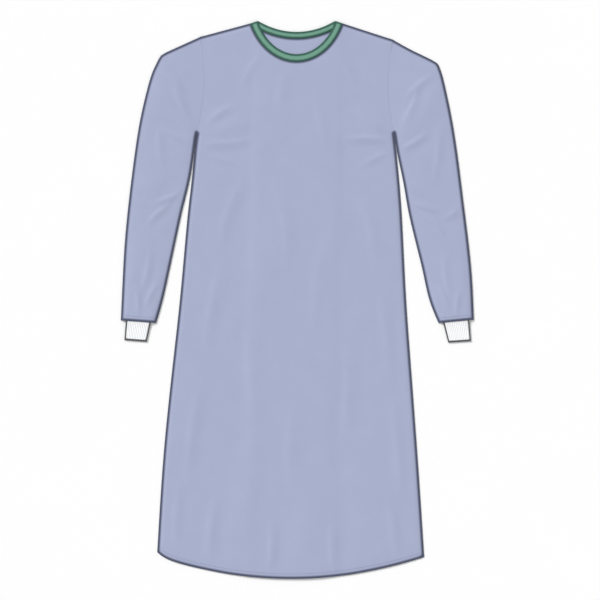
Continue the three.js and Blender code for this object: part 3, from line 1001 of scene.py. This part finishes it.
class GOWN_OT_body(bpy.types.Operator):
    """Make the front and the two back panels"""

    bl_idname = "gown.body"
    bl_label = "Front and back panels"

    def execute(self, context):
        settings = context.scene.gown_cloth
        cloth = cloth_finish(settings)
        thread = thread_finish("blue_thread", settings.thread)
        self.make_front(settings, cloth, thread)
        rows = self.make_back(settings, cloth, "right", ["gown_back_left"])
        rows += self.make_back(settings, cloth, "left", [])
        sew("stitches_back", rows, settings, thread, flush=True)
        return {"FINISHED"}

    def make_front(self, settings, cloth, thread):
        obj = smoothed(one_side("front", up=True), "gown_front", levels=3)
        points = points_of(obj)
        away = outline_distances(obj, points)
        to_joint = np.minimum(away["armhole"], away["neck"])
        free = smoothstep(away["seam"], *SEAM_FADE) * smoothstep(to_joint, *JOINT_FADE)
        height = np.maximum(laid_height("front", settings, points), -DEEPEST["front"])
        side_drop = SIDE_DROP * (1 - smoothstep(away["seam"], 0, SIDE_DROP_REACH))
        side_drop *= smoothstep(to_joint, 0, SIDE_DROP_REACH)
        hem_drop = HEM_DROP * (1 - smoothstep(away["hem"], 0, HEM_DROP_REACH))
        points[:, 2] += free * height - np.maximum(side_drop, hem_drop)
        close_seam(points, away["armhole"], np.sign(points[:, 0]))
        set_points(obj, points)
        mark_panel(obj, away)
        lay_cloth_map(obj)
        rows = seam_rows(obj, sorted_outline(obj)["hem"], settings)
        sew("stitches_hem", rows, settings, thread)
        obj = thicken(obj, settings.wall)
        dress(obj, cloth, "front")

    def make_back(self, settings, cloth, side, rests_on):
        """Makes one back panel, and gives the lines of its stitches."""
        node = f"back_{side}"
        obj = smoothed(one_side(node, up=False), f"gown_{node}", levels=2)
        points = points_of(obj)
        away = outline_distances(obj, points)
        close_seam(points, away["armhole"], np.sign(points[:, 0]))
        set_points(obj, points)
        mark_panel(obj, away)
        lay_cloth_map(obj)
        outline = sorted_outline(obj)
        free_edge = [pair for pair in outline["seam"] if abs(pair[0].x) < FREE_EDGE_REACH_X]
        rows = seam_rows(obj, outline["hem"], settings, above=False)
        rows += seam_rows(obj, free_edge, settings, above=False)
        obj = thicken(obj, settings.wall)
        dress(obj, cloth, node)
        return rows


class GOWN_OT_sleeves(bpy.types.Operator):
    """Make the two sleeves"""

    bl_idname = "gown.sleeves"
    bl_label = "Sleeves"

    def execute(self, context):
        settings = context.scene.gown_cloth
        cloth = bpy.data.materials["soft_nonwoven"]
        thread = bpy.data.materials["blue_thread"]
        rows = []
        for side in SLEEVES:
            rows += self.make_sleeve(settings, cloth, side)
        sew("stitches_sleeves", rows, settings, thread)
        return {"FINISHED"}

    def make_sleeve(self, settings, cloth, side):
        """Makes one sleeve, and gives the lines of its stitches."""
        node = f"sleeve_{side}"
        inward = SLEEVES[side]["inward"]
        corner = SLEEVES[side]["corner"]
        obj = smoothed(outer_side(node), f"gown_{node}", levels=3, corners=[corner])
        points = points_of(obj)
        edges = boundary_segments(obj)
        armhole = [pair for pair in edges if pair[0].y > SLEEVE_ARMHOLE_Y]
        mouth = [pair for pair in edges if pair[0].y < SLEEVE_MOUTH_Y]
        to_fold = distance_to(fold_segments(obj), points)
        to_armhole = distance_to(armhole, points)
        to_mouth = distance_to(mouth, points)
        free = smoothstep(points[:, 2], *UPPER_SIDE)
        fades = ((to_fold, FOLD_FADE), (to_armhole, JOINT_FADE), (to_mouth, MOUTH_FADE))
        for distance, fade in fades:
            free *= smoothstep(distance, *fade)
        points[:, 2] += free * np.maximum(laid_height(node, settings, points), -DEEPEST["sleeve"])
        close_seam(points, to_armhole, inward)
        set_points(obj, points)
        # Along the mouth the darker band is a pressed seam; along the folds it is painted shade.
        store(obj, "edge_distance", np.minimum(to_fold, to_mouth))
        store(obj, "joint_distance", to_armhole)
        lay_cloth_map(obj, math.radians(-SLEEVE_LEAN * inward))
        upper_mouth = [pair for pair in mouth if min(pair[0].z, pair[1].z) > UPPER_MOUTH_Z]
        rows = seam_rows(obj, upper_mouth, settings)
        obj = thicken(obj, settings.wall)
        dress(obj, cloth, node)
        return rows


class GOWN_OT_cuffs(bpy.types.Operator):
    """Make the two knitted cuffs"""

    bl_idname = "gown.cuffs"
    bl_label = "Cuffs"

    def execute(self, context):
        settings = context.scene.gown_cuff
        knit = knit_finish(settings)
        for side in SLEEVES:
            self.make_cuff(settings, knit, side)
        return {"FINISHED"}

    def make_cuff(self, settings, knit, side):
        node = f"cuff_{side}"
        bm = merged_quads(node)
        corners = tube_corners(bm)
        obj = smoothed(bm, f"cuff_knit_{side}", levels=2, straight=1)
        points = points_of(obj)
        across, along = place_in(corners, points)
        to_side = np.minimum(across, 1 - across)
        rib = 0.5 - 0.5 * np.cos(across * math.tau * CUFF_RIBS)
        raised = settings.rib_height * (rib - 0.5) * smoothstep(to_side, 0, CUFF_FOLD_SHARE)
        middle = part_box(node)[0].z + CUFF_MIDDLE
        points[:, 2] += np.where(points[:, 2] > middle, raised, 0)
        set_points(obj, points)
        length = (corners[2] - corners[0]).length
        width = (corners[1] - corners[0]).length
        store(obj, "rib", rib)
        # At the end the darker edge is the overlock; along the folds it is painted shade.
        store(obj, "edge_distance", np.minimum((1 - along) * length, to_side * width + FOLD_SHADE_EASE))
        store_map(obj, across * CUFF_RIBS * RIB_PITCH, along * length)
        dress(obj, knit, node)


def tube_corners(bm):
    """A flattened tube's corners: outer and inner at its upper end, then at its lower end."""
    places = [vert.co.copy() for vert in bm.verts]
    side = math.copysign(1, places[0].x)
    corners = []
    for end in (1, -1):
        for out in (1, -1):
            x_weight, y_weight = out * side, END_WEIGHT * end
            corners.append(max(places, key=lambda place: y_weight * place.y + x_weight * place.x))
    return corners


def place_in(corners, points):
    """How far each point is across a tube, from its outer side, and along it, both from 0 to 1."""
    outer_top, inner_top, outer_end, inner_end = (np.array(c)[:2] for c in corners)
    flat = points[:, :2]
    along = np.zeros(len(flat))
    for _ in range(PLACE_ROUNDS):
        outer = outer_top + (outer_end - outer_top) * along[:, None]
        inner = inner_top + (inner_end - inner_top) * along[:, None]
        span = inner - outer
        across = ((flat - outer) * span).sum(axis=1) / (span**2).sum(axis=1)
        top = outer_top + (inner_top - outer_top) * across[:, None]
        end = outer_end + (inner_end - outer_end) * across[:, None]
        run = end - top
        along = ((flat - top) * run).sum(axis=1) / (run**2).sum(axis=1)
    return np.clip(across, 0, 1), np.clip(along, 0, 1)


class GOWN_OT_binding(bpy.types.Operator):
    """Make the binding round the neck"""

    bl_idname = "gown.binding"
    bl_label = "Neck binding"

    def execute(self, context):
        settings = context.scene.gown_binding
        tape = binding_finish(settings)
        rows = []
        for part, rests_on in BINDING_PARTS.items():
            node = f"neck_binding_{part}"
            obj = smoothed(merged_quads(node), f"binding_{part}", levels=3)
            store(obj, "edge_distance", distance_to(strip_edges(node), points_of(obj)))
            lay_cloth_map(obj)
            rows += seam_rows(obj, strip_edges(node, long_only=True), settings)
            dress(obj, tape, node)
        thread = thread_finish("green_thread", settings.thread)
        sew("stitches_binding", rows, settings, thread)
        return {"FINISHED"}


class GOWN_OT_stage(bpy.types.Operator):
    """Make the floor, the light and the camera"""

    bl_idname = "gown.stage"
    bl_label = "Stage"

    def execute(self, context):
        settings = context.scene.gown_stage
        bm = bmesh.new()
        corners = [(-FLOOR_REACH, -FLOOR_REACH), (FLOOR_REACH, -FLOOR_REACH)]
        corners += [(FLOOR_REACH, FLOOR_REACH), (-FLOOR_REACH, FLOOR_REACH)]
        bm.faces.new([bm.verts.new((x, y, 0)) for x, y in corners])
        floor = object_from(bm, "floor")
        floor.location.z = -FLOOR_DROP
        floor.data.materials.append(floor_finish(settings.floor))
        for name, light in LIGHTS.items():
            self.add_light(name, share=getattr(settings, name), **light)
        world = bpy.data.worlds.new("even_light")
        world.use_nodes = True
        background = world.node_tree.nodes["Background"]
        background.inputs["Color"].default_value = (1, 1, 1, 1)
        background.inputs["Strength"].default_value = settings.sky
        context.scene.world = world
        context.scene.view_settings.view_transform = "Standard"
        camera_data = bpy.data.cameras.new("camera")
        camera_data.lens = settings.lens
        camera = new_object("camera", camera_data)
        distance = settings.view_width * settings.lens / camera_data.sensor_width
        camera.location = (settings.view_x, 0, distance)
        context.scene.camera = camera
        return {"FINISHED"}

    def add_light(self, name, towards, spread, share):
        """A far soft light that adds that share of light to a white floor. Its spread is in
        degrees."""
        towards = Vector(towards).normalized()
        data = bpy.data.lights.new(name, "SUN")
        data.angle = math.radians(spread)
        data.energy = share * math.pi / towards.z
        light = new_object(name, data)
        light.location = towards * LIGHT_DISTANCE
        light.rotation_euler = (-towards).to_track_quat("-Z", "Y").to_euler()


class GOWN_PT_panel(bpy.types.Panel):
    """Sizes, colours and pieces of the gown"""

    bl_idname = "GOWN_PT_panel"
    bl_label = "Surgical gown"
    bl_space_type = "VIEW_3D"
    bl_region_type = "UI"
    bl_category = "Gown"

    def draw(self, context):
        for group in ("gown_cloth", "gown_binding", "gown_cuff", "gown_stage"):
            settings = getattr(context.scene, group)
            box = self.layout.box()
            for key in settings.bl_rna.properties.keys():
                if key not in ("rna_type", "name"):
                    box.prop(settings, key)
        for operator in OPERATORS:
            self.layout.operator(operator.bl_idname)


SETTINGS = {
    "gown_cloth": ClothSettings,
    "gown_binding": BindingSettings,
    "gown_cuff": CuffSettings,
    "gown_stage": StageSettings,
}
OPERATORS = (GOWN_OT_body, GOWN_OT_sleeves, GOWN_OT_cuffs, GOWN_OT_binding, GOWN_OT_stage)


def register():
    for cls in (*SETTINGS.values(), *OPERATORS, GOWN_PT_panel):
        bpy.utils.register_class(cls)
    for name, cls in SETTINGS.items():
        setattr(bpy.types.Scene, name, bpy.props.PointerProperty(type=cls))


def unregister():
    for name in SETTINGS:
        delattr(bpy.types.Scene, name)
    for cls in (GOWN_PT_panel, *reversed(OPERATORS), *reversed(SETTINGS.values())):
        bpy.utils.unregister_class(cls)


def main():
    register()
    bpy.ops.gown.body()
    bpy.ops.gown.sleeves()
    bpy.ops.gown.cuffs()
    bpy.ops.gown.binding()
    bpy.ops.gown.stage()


if __name__ == "__main__":
    main()
